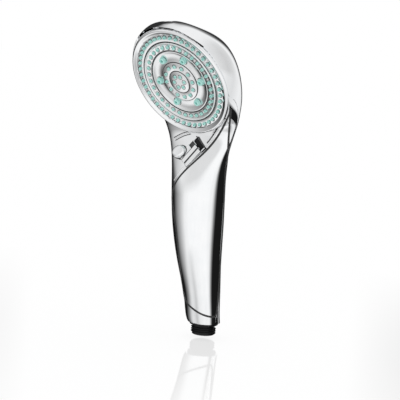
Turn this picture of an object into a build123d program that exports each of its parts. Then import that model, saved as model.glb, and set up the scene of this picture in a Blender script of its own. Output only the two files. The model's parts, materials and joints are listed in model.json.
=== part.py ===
import math
import os
from build123d import *

os.makedirs("parts", exist_ok=True)

# A handheld shower head. Millimetres. Z runs up the axis of the hose thread from its open end,
# and -Y is the side that the water leaves from.

# Spray face, built outwards from its centre
centre_ring_radius = 5.2
inner_ring_step = 8.2
jet_ring_step = 8.1
middle_ring_step = 9.3
outer_ring_step = 8.5
face_margin = 3.65
bezel_band = 4.25
rim_bulge = 3.1
centre_count = 6
inner_count = 12
jet_count = 6
middle_count = 32
outer_count = 44
nozzle_radius = 1.75
jet_radius = 3.4
nozzle_rise = 2.4
nozzle_bore_radius = 0.45
jet_bore_radius = 0.9
nozzle_sides = 8
nozzle_fit = 0.12
web_thickness = 1.6
web_margin = 0.65
plate_thickness = 2.0
bezel_height = 2.4
bezel_lip = 0.7
bezel_skirt_depth = 3.0
bezel_skirt_wall = 1.3

inner_ring_radius = centre_ring_radius + inner_ring_step
jet_ring_radius = inner_ring_radius + jet_ring_step
middle_ring_radius = jet_ring_radius + middle_ring_step
outer_ring_radius = middle_ring_radius + outer_ring_step
face_radius = outer_ring_radius + face_margin
bezel_radius = face_radius + bezel_band
head_radius = bezel_radius + rim_bulge

# Where the head stands
face_tilt = 28.6
face_forward = 54.6
face_height = 212.4

# Handle and neck
foot_height = 10.4
foot_radius = 13.5
grip_low_height = 62.0
grip_low_half_width = 18.6
grip_height = 104.0
grip_half_width = 22.4
grip_front = 23.2
grip_back = 15.4
waist_height = 132.0
waist_half_width = 23.8
waist_front = 22.0
waist_back = 16.0
neck_height = 153.0
neck_half_width = 27.2
neck_front = 15.0
neck_back = 16.5
throat_half_width = 39.0
throat_front = 8.0
throat_back = 14.5
head_back = 19.0
rim_setback = 12.0

# Walls, gaps and fits
shell_wall = 1.8
cover_thickness = 1.8
seam_gap = 0.35
seat_gap = 0.1
parting_gap = 0.2
fit_gap = 0.1
seal_gap = 0.05

# Inlet
thread_radius = 10.4775
thread_length = 8.4
flange_radius = 11.85
spigot_radius = 9.4
spigot_height = 15.0
inlet_bore_radius = 7.6
inlet_bore_depth = 6.0
supply_radius = 4.6
supply_wall = 1.2
supply_grip = 7.0
seal_section = 0.7

# Selector slider and its valve
slide_x = 1.5
slide_forward = 36.4
slide_height = 153.0
slide_lean = 11.0
slide_angle = 37.0
slide_travel = 4.0
slider_length = 18.0
slider_width = 13.5
slider_sink = 3.0
pocket_gap = 0.35
pin_radius = 1.5
pin_place = -7.0
valve_side = 3.0
valve_depth = 13.2
spool_radius = 4.2
valve_wall = 1.5
port_width = 2.0
outlet_radius = 2.4
outlet_wall = 0.9

# Manifold behind the face
manifold_depth = 6.2
manifold_base = 2.2
cover_depth = 5.0
manifold_wall = 1.6
gasket_thickness = 0.6
feed_hole_radius = 2.0


def leaning(y, z, lean):
    """Plane across the handle whose upward normal leans forward."""
    turn = math.radians(lean)
    return Plane(origin=(0, y, z), x_dir=(1, 0, 0), z_dir=(0, -math.sin(turn), math.cos(turn)))


tilt = math.radians(face_tilt)
face_plane = Plane(
    origin=(0, -face_forward, face_height),
    x_dir=(1, 0, 0),
    z_dir=(0, -math.cos(tilt), -math.sin(tilt)),
)
# Half section of the head: across the face, and out of it
face_side = Plane(origin=face_plane.origin, x_dir=(1, 0, 0), z_dir=-face_plane.y_dir)
face_axis = Axis(face_plane.origin, face_plane.z_dir)


def across_head(up, setback):
    """Plane across the head, a way up the face and behind it."""
    place = face_plane.from_local_coords((0, up, -setback))
    return Plane(origin=place, x_dir=(1, 0, 0), z_dir=face_plane.y_dir)


def rim_half_width(turn):
    return head_radius * math.cos(math.radians(turn))


def rim_up(turn):
    return head_radius * math.sin(math.radians(turn))


# Cross-sections from foot to crown: plane, half width, depth behind, depth in front
handle_sections = [
    (leaning(0, foot_height, 0), foot_radius, foot_radius, foot_radius),
    (leaning(-4.3, foot_height + 17.6, 7), foot_radius + 1.7, foot_radius + 0.7, foot_radius + 1.1),
    (leaning(-11.2, grip_low_height, 10.5), grip_low_half_width, grip_back - 0.2, grip_low_half_width),
    (leaning(-17.2, grip_height, 10.5), grip_half_width, grip_back, grip_front),
    (leaning(-20.2, waist_height, 11), waist_half_width, waist_back, waist_front),
    (leaning(-23.0, neck_height, 15), neck_half_width, neck_back, neck_front),
    (across_head(-40, rim_setback - 2.5), throat_half_width, throat_back, throat_front),
    (across_head(-31, rim_setback - 1.2), throat_half_width + 3.6, throat_back + 0.9, throat_front + 10),
]
head_sections = [
    (across_head(rim_up(-26), rim_setback), rim_half_width(-25), head_back - 3, 34),
    (across_head(rim_up(4.5), rim_setback), rim_half_width(4.5), head_back, 36),
    (across_head(rim_up(32.5), rim_setback - 0.5), rim_half_width(31.5), head_back + 0.5, 34),
    (across_head(rim_up(54.5), rim_setback - 4), rim_half_width(54.5), head_back - 6.5, 24),
    (across_head(rim_up(71), rim_setback - 6.2), rim_half_width(72), head_back - 12, 11),
    (across_head(rim_up(84), rim_setback - 7.6), rim_half_width(84), head_back - 16.6, 3.6),
]


def egg(plane, half_width, back, front):
    """Section of the body: two half ellipses that share their width."""
    with BuildSketch(plane) as section:
        with BuildLine():
            EllipticalCenterArc((0, 0), half_width, back, 0, arc_size=180)
            EllipticalCenterArc((0, 0), half_width, front, 180, arc_size=180)
        make_face()
    return section.sketch.face()


def body_loft(inset):
    """Body form with its sections drawn in by an inset."""
    slices = []
    for plane, half_width, back, front in handle_sections + head_sections:
        slices.append(egg(plane, half_width - inset, back - inset, front - inset))
    with BuildPart() as form:
        loft(slices)
    return form.part


outer_loft = body_loft(0)
recess_radius = bezel_radius + 1.8
rim_radius = bezel_radius - 0.2

# Outer skin of the closed body, cut back for the face and with a round rim for the bezel
with BuildPart() as body_skin:
    add(outer_loft)
    with BuildSketch(face_plane):
        Circle(recess_radius)
    extrude(amount=head_radius, mode=Mode.SUBTRACT)
    with BuildSketch(face_plane):
        Circle(rim_radius)
    extrude(amount=-rim_setback)

# Stack behind the face: plate, nozzle webs, manifold, gasket and cover, as heights out of the face
web_top = -plate_thickness
web_bottom = web_top - web_thickness
base_top = web_bottom - manifold_depth
base_bottom = base_top - manifold_base
gasket_bottom = base_bottom - gasket_thickness
cover_bottom = gasket_bottom - cover_depth
opening_radius = face_radius + bezel_skirt_wall + 2 * fit_gap
ledge_radius = opening_radius - 1.9
hollow_back = cover_bottom - 4

# Hollow of the body: the head behind the face, opening into the neck and handle
wall_total = cover_thickness + seat_gap + shell_wall
hollow_fronts = [neck_front - wall_total] * 4 + [neck_front - 2 * wall_total, throat_front - 6]
with BuildPart() as hollow:
    inner_slices = []
    for row, front in zip(handle_sections[1:], hollow_fronts):
        plane, half_width, back, outer_front = row
        inner_slices.append(
            egg(plane, half_width - wall_total, back - wall_total, min(front, outer_front - wall_total))
        )
    throat_plane = across_head(rim_up(-26), rim_setback)
    inner_slices.append(egg(throat_plane, rim_half_width(-25) - 2 * wall_total, head_back - 7, 3))
    loft(inner_slices)
    with BuildSketch(face_side):
        with BuildLine():
            Polyline(
                (0, 1),
                (opening_radius, 1),
                (opening_radius, base_bottom),
                (ledge_radius, base_bottom),
                (ledge_radius, base_bottom - 3),
                (ledge_radius - 1.1, cover_bottom - 0.4),
                (ledge_radius - 6, cover_bottom - 2.6),
                (ledge_radius - 14, hollow_back),
                (0, hollow_back),
                close=True,
            )
        make_face()
    revolve(axis=face_axis)
    with BuildSketch(Plane.XY.offset(foot_height - 1)):
        Circle(spigot_radius + fit_gap)
    extrude(amount=spigot_height + 5)

# Side view of the parting between the two shells, running up the handle and out to the face
parting_points = [
    (0, foot_height - 6),
    (-4.3, foot_height + 17.6),
    (-11.2, grip_low_height),
    (-17.2, grip_height),
    (-20.2, waist_height),
    (-23.0, neck_height),
    (-25.2, neck_height + 16),
    (-28.6, neck_height + 31),
    (-38.5, face_height - 14),
    (-62.0, face_height - 5),
]


def front_zone(shift):
    """Everything in front of the parting, moved forwards and down by a shift."""
    line = [(y - shift, z - shift) for y, z in parting_points]
    far = -face_forward - head_radius
    with BuildPart() as zone:
        with BuildSketch(Plane.YZ):
            with BuildLine():
                Spline(*line)
                Polyline(line[-1], (far, line[-1][1]), (far, line[0][1]), line[0])
            make_face()
        extrude(amount=2 * head_radius, both=True)
    return zone.part


# Leaf-shaped cover panel that wraps the grip, drawn in the view that it faces
cover_turn = math.radians(38.2)
cover_plane = Plane(
    origin=(0, 0, 0),
    x_dir=(math.cos(cover_turn), math.sin(cover_turn), 0),
    z_dir=(math.sin(cover_turn), -math.cos(cover_turn), 0),
)
cover_left = [
    (7.6, 196),
    (4.5, 183),
    (-3.3, 165.8),
    (-14.4, 151.7),
    (-26.4, 138.1),
    (-33.3, 123.8),
    (-33.7, 115),
    (-30.5, 99.5),
    (-21.6, 49.4),
    (-16.8, 28.5),
]
cover_low = [(-16.8, 28.5), (-5, 21), (16, 17)]
cover_right = [(16, 140), (8.4, 150)]
cover_cut = Plane(
    origin=cover_plane.from_local_coords((0, 0, 4.8)),
    z_dir=cover_plane.z_dir - cover_plane.x_dir * 0.23 - Vector(0, 0, 0.155),
)


def cover_prism(grow):
    """Column through the leaf outline, drawn wider all round by an amount."""
    left = [(x - 1.2 * grow, z) for x, z in cover_left]
    left[0] = (cover_left[0][0] + 0.6 * grow, cover_left[0][1] + 6 * grow)
    left[-1] = (left[-1][0], left[-1][1] - grow)
    low_middle = (cover_low[1][0], cover_low[1][1] - grow)
    low_end = (cover_low[2][0] + grow, cover_low[2][1] - grow)
    with BuildPart() as prism:
        with BuildSketch(cover_plane):
            with BuildLine():
                Spline(*left)
                ThreePointArc(left[-1], low_middle, low_end)
                Polyline(low_end, cover_right[0], (cover_right[1][0] + grow, cover_right[1][1]), left[0])
            make_face()
        extrude(amount=2 * head_radius)
        split(bisect_by=cover_cut.offset(-grow), keep=Keep.TOP)
    return prism.part


def handle_loft(inset):
    """Handle and lower head with their sections drawn in by an inset."""
    slices = []
    for plane, half_width, back, front in handle_sections + head_sections[:3]:
        slices.append(egg(plane, half_width - inset, back - inset, front - inset))
    with BuildPart() as form:
        loft(slices)
    return form.part


def rod(plane, radius, start, end, mode=Mode.ADD):
    """Round bar along a plane's normal, in the piece being built."""
    with BuildSketch(plane.offset(start)) as shape:
        Circle(radius)
    extrude(shape.sketch, amount=end - start, mode=mode)


def block(plane, x_span, y_span, z_span, mode=Mode.ADD):
    """Box between two limits each way, in the piece being built."""
    middle = ((x_span[0] + x_span[1]) / 2, (y_span[0] + y_span[1]) / 2)
    with BuildSketch(plane.offset(z_span[0])) as shape:
        with Locations(middle):
            Rectangle(x_span[1] - x_span[0], y_span[1] - y_span[0])
    extrude(shape.sketch, amount=z_span[1] - z_span[0], mode=mode)


def band(plane, inner, outer, start, end, mode=Mode.ADD):
    """Flat ring along a plane's normal, in the piece being built."""
    with BuildSketch(plane.offset(start)) as shape:
        Circle(outer)
        if inner > 0:
            Circle(inner, mode=Mode.SUBTRACT)
    extrude(shape.sketch, amount=end - start, mode=mode)


# Frame of the selector: x along its travel, z out of the neck
lean = math.radians(slide_lean)
turn = math.radians(slide_angle)
neck_out = Vector(0, -math.cos(lean), math.sin(lean))
neck_up = Vector(0, math.sin(lean), math.cos(lean))
travel_way = Vector(1, 0, 0) * math.sin(turn) + neck_up * math.cos(turn)
slide_plane = Plane(origin=(slide_x, -slide_forward, slide_height), x_dir=travel_way, z_dir=neck_out)
pocket_depth = slider_sink + pocket_gap
slider_right = -5.5
slider_left = slider_right + slider_width
pocket_low = -slider_length / 2 - pocket_gap
pocket_high = slider_length / 2 + slide_travel + pocket_gap

# Valve stations along the travel, with the selector at its low stop
spool_land = 1.2
port_half = port_width / 2
end_reach = slide_travel + port_half + spool_land + 0.4
valve_half = end_reach + slide_travel + spool_land + 0.4
port_in = pin_place + valve_half + slide_travel + pin_radius + 0.7
seal_places = [port_in - end_reach - slide_travel, port_in - slide_travel / 2, port_in + end_reach]
outlet_places = [port_in - slide_travel, port_in + slide_travel]
valve_bore = spool_radius + 0.3
valve_radius = valve_bore + valve_wall
valve_plane = Plane(
    origin=slide_plane.from_local_coords((0, valve_side, -valve_depth)),
    x_dir=travel_way,
    z_dir=neck_out,
)
valve_axis = Axis(valve_plane.origin, travel_way)
valve_end = Plane(origin=valve_plane.origin, x_dir=neck_out, z_dir=travel_way)
seat_depth = 7.4

# Supply tube, straight from the inlet to the valve
inlet_point = Vector(0, 0, foot_height + spigot_height - supply_grip - 1.5)
valve_inlet = valve_plane.from_local_coords((port_in, -valve_radius - 2.5, 0))
supply_way = (valve_inlet - inlet_point).normalized()
supply_plane = Plane(origin=inlet_point, z_dir=supply_way)
supply_length = (valve_inlet - inlet_point).length - 6.0
supply_boss_start = supply_length - supply_grip

# Outlet pipes from the valve to the manifold cover
outlet_targets = [(-4.0, -41.8, -16.6), (9.0, -41.8, -16.6)]
outlet_planes = []
outlet_lengths = []
for place, target in zip(outlet_places, outlet_targets):
    start = valve_plane.from_local_coords((place, valve_radius + 0.4, 0))
    end = face_plane.from_local_coords(target)
    outlet_planes.append(Plane(origin=start, z_dir=(end - start).normalized()))
    outlet_lengths.append((end - start).length)

# Leaf cover over the grip
with BuildPart() as wrap_cover:
    add(body_skin.part)
    add(cover_prism(0), mode=Mode.INTERSECT)
    add(handle_loft(cover_thickness), mode=Mode.SUBTRACT)
wrap_cover.part.label = "wrap_cover"
export_step(wrap_cover.part, "parts/wrap_cover.step")

with BuildPart() as cover_recess:
    add(body_skin.part)
    add(cover_prism(seam_gap), mode=Mode.INTERSECT)
    add(handle_loft(cover_thickness + seat_gap), mode=Mode.SUBTRACT)

# Back half of the body: dome of the head and back of the handle
with BuildPart() as rear_shell:
    add(body_skin.part)
    add(front_zone(0), mode=Mode.SUBTRACT)
    add(hollow.part, mode=Mode.SUBTRACT)
    add(cover_recess.part, mode=Mode.SUBTRACT)
    rod(valve_end, valve_radius + 0.4, port_in - valve_half - 1, port_in + valve_half + 3, Mode.SUBTRACT)
    for pipe, length in zip(outlet_planes, outlet_lengths):
        rod(pipe, outlet_radius + 1.5, length - 9, length, Mode.SUBTRACT)
rear_shell.part.label = "rear_shell"
export_step(rear_shell.part, "parts/rear_shell.step")

# Front half: neck, front of the handle and the two horns beside the bezel
with BuildPart() as front_shell:
    add(body_skin.part)
    add(front_zone(parting_gap), mode=Mode.INTERSECT)
    add(hollow.part, mode=Mode.SUBTRACT)
    add(cover_recess.part, mode=Mode.SUBTRACT)
    pocket_sides = (slider_right - pocket_gap, slider_left + pocket_gap)
    block(slide_plane, (pocket_low, pocket_high), pocket_sides, (-pocket_depth, 12), Mode.SUBTRACT)
    slot_half = pin_radius + pocket_gap
    slot_ends = (pin_place - slot_half, pin_place + slide_travel + slot_half)
    block(slide_plane, slot_ends, (valve_side - slot_half, valve_side + slot_half), (-14, 0), Mode.SUBTRACT)
    block(slide_plane, (2.2, 9.8), (valve_side - 10.6, valve_side + 10.6), (-13, -seat_depth), Mode.SUBTRACT)
    rod(valve_end, valve_radius + 0.4, port_in - valve_half - 1, port_in + valve_half + 3, Mode.SUBTRACT)
    rod(valve_end, spool_radius, pin_place - 6, port_in, Mode.SUBTRACT)
    rod(supply_plane, supply_radius + 1.9, supply_boss_start - 2, supply_length + 8, Mode.SUBTRACT)
    for pipe, length in zip(outlet_planes, outlet_lengths):
        rod(pipe, outlet_radius + 1.3, -3, length, Mode.SUBTRACT)
    for side in (-8.2, 8.2):
        drill = Plane(origin=slide_plane.from_local_coords((6, valve_side + side, -9)), z_dir=neck_out)
        rod(drill, 0.95 + seal_gap, 0, 5.2, Mode.SUBTRACT)
front_shell.part.label = "front_shell"
export_step(front_shell.part, "parts/front_shell.step")

# Thumb slider that picks the spray: a low plate with two ribs and a round thumb knob
with BuildPart() as selector_slider:
    plate = (-slider_length / 2, slider_length / 2)
    block(slide_plane, plate, (slider_right, slider_left), (-slider_sink, -0.6))
    block(slide_plane, plate, (slider_right, slider_right + 3.3), (-1, 1.6))
    block(slide_plane, plate, (slider_right + 4.7, slider_right + 8.0), (-1, 1.6))
    block(slide_plane, (plate[0], 4.0), (slider_right + 8.0, slider_left), (-1, 0.8))
    with BuildSketch(slide_plane.offset(0.8)):
        with Locations((plate[0] + 3.2, slider_left + 1.0)):
            Ellipse(6.4, 5.0, rotation=-20)
    extrude(amount=4.4)
    knob_top = selector_slider.faces().sort_by(Axis(slide_plane.origin, slide_plane.z_dir))[-1]
    fillet(knob_top.edges(), radius=2.6)
    pin_seat = Plane(origin=slide_plane.from_local_coords((pin_place, valve_side, -slider_sink)), z_dir=neck_out)
    rod(pin_seat, pin_radius + seal_gap, -1, 2.4, Mode.SUBTRACT)
selector_slider.part.label = "selector_slider"
export_step(selector_slider.part, "parts/selector_slider.step")

# Pin that carries the slider's movement through the neck to the spool
with BuildPart() as slide_pin:
    rod(pin_seat, pin_radius, slider_sink - valve_depth - 2.2, 2.3)
slide_pin.part.label = "slide_pin"
export_step(slide_pin.part, "parts/slide_pin.step")

# Spool of the valve, with three grooved lands
spool_core = spool_radius - 2.0
groove_half = 0.7
groove_radius = spool_radius - 1.2
with BuildPart() as valve_spool:
    with BuildSketch(valve_plane):
        with BuildLine():
            outline = [(pin_place - 3.2, 0), (pin_place - 3.2, spool_core)]
            for place in seal_places:
                outline += [
                    (place - spool_land, spool_core),
                    (place - spool_land, spool_radius),
                    (place - groove_half, spool_radius),
                    (place - groove_half, groove_radius),
                    (place + groove_half, groove_radius),
                    (place + groove_half, spool_radius),
                    (place + spool_land, spool_radius),
                    (place + spool_land, spool_core),
                ]
            outline[-1] = (seal_places[-1] + spool_land, 0)
            Polyline(*outline, close=True)
        make_face()
    revolve(axis=valve_axis)
    rod(pin_seat, pin_radius + seal_gap, slider_sink - valve_depth - 8, -3, Mode.SUBTRACT)
valve_spool.part.label = "valve_spool"
export_step(valve_spool.part, "parts/valve_spool.step")

# Three rings on the spool
ring_section = 0.66
with BuildPart() as spool_seals:
    with BuildSketch(valve_plane):
        for place in seal_places:
            with Locations((place, groove_radius + ring_section + 0.02)):
                Circle(ring_section)
    revolve(axis=valve_axis)
spool_seals.part.label = "spool_seals"
export_step(spool_seals.part, "parts/spool_seals.step")

# Valve body with its inlet boss, two outlet pipes and screwed foot
valve_low = port_in - valve_half
valve_high = port_in + valve_half
seal_tube = 0.5
with BuildPart() as valve_body:
    rod(valve_end, valve_radius, valve_low, valve_high + valve_wall)
    block(slide_plane, (2.6, 9.4), (valve_side - 5, valve_side + 5), (-valve_depth, -seat_depth - fit_gap))
    block(slide_plane, (2.6, 9.4), (valve_side - 10.2, valve_side + 10.2), (-9.5, -seat_depth - fit_gap))
    rod(supply_plane, supply_radius + 1.5, supply_boss_start, supply_length + 7)
    for pipe, length in zip(outlet_planes, outlet_lengths):
        rod(pipe, outlet_radius, -2, length - 1)
    rod(valve_end, valve_bore, valve_low - 2, valve_high, Mode.SUBTRACT)
    rod(supply_plane, supply_radius + fit_gap, supply_boss_start - 5, supply_length + fit_gap, Mode.SUBTRACT)
    rod(supply_plane, port_half * 1.6, supply_length - 1, supply_length + 6, Mode.SUBTRACT)
    feed = Plane(origin=valve_plane.from_local_coords((port_in, 0, 0)), z_dir=-valve_plane.y_dir)
    rod(feed, port_half, 0, valve_radius + 3, Mode.SUBTRACT)
    for pipe, length, place in zip(outlet_planes, outlet_lengths, outlet_places):
        rod(pipe, outlet_radius - outlet_wall, 0, length, Mode.SUBTRACT)
        port = Plane(origin=valve_plane.from_local_coords((place, 0, 0)), z_dir=valve_plane.y_dir)
        rod(port, port_half, 0, valve_radius + 1, Mode.SUBTRACT)
        groove = pipe.offset(length - 4)
        band(groove, outlet_radius - seal_tube, outlet_radius + 1, -0.5, 0.5, Mode.SUBTRACT)
    for side in (-8.2, 8.2):
        drill = Plane(origin=slide_plane.from_local_coords((6, valve_side + side, -9)), z_dir=neck_out)
        rod(drill, 1.1, -6, 5, Mode.SUBTRACT)
        rod(drill.offset(-0.5), 1.8 + fit_gap, -6, 0, Mode.SUBTRACT)
valve_body.part.label = "valve_body"
export_step(valve_body.part, "parts/valve_body.step")

# Two screws that hold the valve to the neck
with BuildPart() as valve_screws:
    for side in (-8.2, 8.2):
        drill = Plane(origin=slide_plane.from_local_coords((6, valve_side + side, -9.5)), z_dir=neck_out)
        rod(drill, 1.8, -1.4, 0)
        rod(drill, 0.95, 0, 5.4)
valve_screws.part.label = "valve_screws"
export_step(valve_screws.part, "parts/valve_screws.step")

# Rings on the outlet pipes
with BuildPart() as outlet_seals:
    for pipe, length in zip(outlet_planes, outlet_lengths):
        centre = pipe.offset(length - 4)
        with BuildSketch(Plane(origin=centre.origin, x_dir=centre.x_dir, z_dir=centre.y_dir)):
            with Locations((outlet_radius - seal_tube + 0.29, 0)):
                Circle(0.28)
        revolve(axis=Axis(centre.origin, centre.z_dir))
outlet_seals.part.label = "outlet_seals"
export_step(outlet_seals.part, "parts/outlet_seals.step")

# Tube that carries the water up the handle
tube_grooves = [2.5, supply_length - 2.5]
with BuildPart() as supply_tube:
    band(supply_plane, supply_radius - supply_wall, supply_radius, 0, supply_length)
    for place in tube_grooves:
        band(supply_plane, supply_radius - 0.5, supply_radius + 1, place - 0.5, place + 0.5, Mode.SUBTRACT)
supply_tube.part.label = "supply_tube"
export_step(supply_tube.part, "parts/supply_tube.step")

# Rings at both ends of the tube
with BuildPart() as supply_seals:
    for place in tube_grooves:
        centre = supply_plane.offset(place)
        with BuildSketch(Plane(origin=centre.origin, x_dir=centre.x_dir, z_dir=centre.y_dir)):
            with Locations((supply_radius - 0.5 + 0.29, 0)):
                Circle(0.28)
        revolve(axis=Axis(centre.origin, centre.z_dir))
supply_seals.part.label = "supply_seals"
export_step(supply_seals.part, "parts/supply_seals.step")

# Threaded inlet with a spigot that both shells close on
seal_height = foot_height + 9.0
with BuildPart() as inlet_connector:
    rod(Plane.XY, thread_radius, 0, thread_length)
    rod(Plane.XY, flange_radius, thread_length, foot_height - fit_gap)
    rod(Plane.XY, spigot_radius, foot_height - fit_gap, foot_height + spigot_height)
    rod(Plane.XY, inlet_bore_radius, -1, inlet_bore_depth, Mode.SUBTRACT)
    rod(Plane.XY, supply_radius - supply_wall, 0, inlet_point.Z, Mode.SUBTRACT)
    rod(supply_plane, supply_radius - supply_wall, -2, 1, Mode.SUBTRACT)
    rod(supply_plane, supply_radius + fit_gap, -fit_gap, spigot_height + 5, Mode.SUBTRACT)
    groove = Plane.XY.offset(seal_height)
    band(groove, spigot_radius - 1.3, spigot_radius + 1, -0.75, 0.75, Mode.SUBTRACT)
inlet_connector.part.label = "inlet_connector"
export_step(inlet_connector.part, "parts/inlet_connector.step")

with BuildPart() as connector_seal:
    with BuildSketch(Plane.XZ):
        with Locations((spigot_radius - 1.3 + seal_section, seal_height)):
            Circle(seal_section - 0.01)
    revolve(axis=Axis.Z)
connector_seal.part.label = "connector_seal"
export_step(connector_seal.part, "parts/connector_seal.step")

# Flow limiter and inlet filter in the open end of the thread
limiter_thickness = 2.4
with BuildPart() as flow_regulator:
    rod(Plane.XY, inlet_bore_radius - fit_gap, inlet_bore_depth - limiter_thickness, inlet_bore_depth)
    with BuildSketch(Plane.XY.offset(inlet_bore_depth - limiter_thickness)):
        with PolarLocations(2.4, 6):
            Circle(0.7)
    extrude(amount=limiter_thickness, mode=Mode.SUBTRACT)
flow_regulator.part.label = "flow_regulator"
export_step(flow_regulator.part, "parts/flow_regulator.step")

filter_thickness = 1.2
filter_top = inlet_bore_depth - limiter_thickness - seal_gap
with BuildPart() as inlet_filter:
    rod(Plane.XY, inlet_bore_radius - fit_gap, filter_top - filter_thickness, filter_top)
    with BuildSketch(Plane.XY.offset(filter_top - filter_thickness)):
        with PolarLocations(5.0, 12):
            Circle(0.8)
        with PolarLocations(2.4, 6):
            Circle(0.8)
    extrude(amount=filter_thickness, mode=Mode.SUBTRACT)
inlet_filter.part.label = "inlet_filter"
export_step(inlet_filter.part, "parts/inlet_filter.step")

# Spray face: hub, channel for the large jets, two bands of small nozzles and a ridge between them
relief = [
    (0, inner_ring_radius - 4.1, 1.6, 1.6),
    (inner_ring_radius - 4.0, inner_ring_radius - 3.4, 0.6, 0.6),
    (inner_ring_radius - 3.3, inner_ring_radius + 3.6, 1.3, 1.0),
    (jet_ring_radius - 4.3, jet_ring_radius - 2.5, 0.3, 0.0),
    (jet_ring_radius + 0.5, jet_ring_radius + 3.5, -0.2, 0.3),
    (middle_ring_radius - 3.8, middle_ring_radius - 3.8, 0.9, 0.9),
    (middle_ring_radius - 3.6, middle_ring_radius - 3.2, 0.2, 0.2),
    (middle_ring_radius - 3.0, middle_ring_radius + 2.8, 1.0, 1.2),
    (middle_ring_radius + 3.1, middle_ring_radius + 3.9, 1.8, 1.8),
    (outer_ring_radius - 4.3, outer_ring_radius + 2.7, 1.1, 0.6),
    (face_radius, face_radius, 0.4, 0.4),
]
ring_table = [
    (outer_ring_radius, outer_count, nozzle_radius),
    (middle_ring_radius, middle_count, nozzle_radius),
    (inner_ring_radius, inner_count, nozzle_radius),
    (centre_ring_radius, centre_count, nozzle_radius),
    (jet_ring_radius, jet_count, jet_radius),
]
with BuildPart() as face_plate:
    with BuildSketch(face_side):
        with BuildLine():
            rise = [(0, -plate_thickness)]
            for start, end, low, high in relief:
                rise.append((start, low))
                if end > start:
                    rise.append((end, high))
            rise.append((face_radius, -plate_thickness))
            Polyline(*rise, close=True)
        make_face()
    revolve(axis=face_axis)
    for ring, count, size in ring_table:
        with BuildSketch(face_plane.offset(-plate_thickness - 1)):
            with PolarLocations(ring, count, start_angle=5):
                RegularPolygon(size + nozzle_fit, nozzle_sides)
        extrude(amount=plate_thickness + 5, mode=Mode.SUBTRACT)
face_plate.part.label = "face_plate"
export_step(face_plate.part, "parts/face_plate.step")

nozzle_height = plate_thickness + nozzle_rise
nozzle_taper = 5.0
web_half = nozzle_radius + web_margin
jet_web_half = jet_radius + web_margin


def nozzles(ring, count, size, bore, half):
    """Soft web with a ring of nozzles standing on it, in the piece being built."""
    band(face_plane, max(ring - half, 0), ring + half, web_bottom, web_top)
    with BuildSketch(face_plane.offset(web_top)) as shape:
        with PolarLocations(ring, count, start_angle=5):
            RegularPolygon(size, nozzle_sides)
    extrude(shape.sketch, amount=nozzle_height, taper=nozzle_taper)
    with BuildSketch(face_plane.offset(web_bottom)) as shape:
        with PolarLocations(ring, count, start_angle=5):
            RegularPolygon(bore, 4)
    extrude(shape.sketch, amount=web_thickness + nozzle_height, mode=Mode.SUBTRACT)


with BuildPart() as outer_nozzles:
    nozzles(outer_ring_radius, outer_count, nozzle_radius, nozzle_bore_radius, web_half)
outer_nozzles.part.label = "outer_nozzles"
export_step(outer_nozzles.part, "parts/outer_nozzles.step")

with BuildPart() as middle_nozzles:
    nozzles(middle_ring_radius, middle_count, nozzle_radius, nozzle_bore_radius, web_half)
middle_nozzles.part.label = "middle_nozzles"
export_step(middle_nozzles.part, "parts/middle_nozzles.step")

with BuildPart() as jet_nozzles:
    nozzles(jet_ring_radius, jet_count, jet_radius, jet_bore_radius, jet_web_half)
jet_nozzles.part.label = "jet_nozzles"
export_step(jet_nozzles.part, "parts/jet_nozzles.step")

with BuildPart() as inner_nozzles:
    nozzles(inner_ring_radius, inner_count, nozzle_radius, nozzle_bore_radius, web_half)
inner_nozzles.part.label = "inner_nozzles"
export_step(inner_nozzles.part, "parts/inner_nozzles.step")

with BuildPart() as centre_nozzles:
    nozzles(centre_ring_radius, centre_count, nozzle_radius, nozzle_bore_radius, web_half)
centre_nozzles.part.label = "centre_nozzles"
export_step(centre_nozzles.part, "parts/centre_nozzles.step")

# Rounded bezel round the face, with a skirt that goes down inside the rim
with BuildPart() as bezel_ring:
    with BuildSketch(face_side):
        with BuildLine():
            skirt_in = face_radius + fit_gap
            skirt_out = skirt_in + bezel_skirt_wall - fit_gap
            lip_in = face_radius - bezel_lip
            Polyline(
                (lip_in, 0.75),
                (skirt_in, 0.6),
                (skirt_in, -bezel_skirt_depth),
                (skirt_out, -bezel_skirt_depth),
                (skirt_out, fit_gap),
                (bezel_radius, fit_gap),
                (bezel_radius, 0.8),
            )
            crown = (bezel_radius - 0.36 * bezel_band, bezel_height)
            Spline((bezel_radius, 0.8), crown, (lip_in, 1.35), tangents=[(-0.35, 1), (-1, -0.3)])
            Line((lip_in, 1.35), (lip_in, 0.75))
        make_face()
    revolve(axis=face_axis)
bezel_ring.part.label = "bezel_ring"
export_step(bezel_ring.part, "parts/bezel_ring.step")

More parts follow.
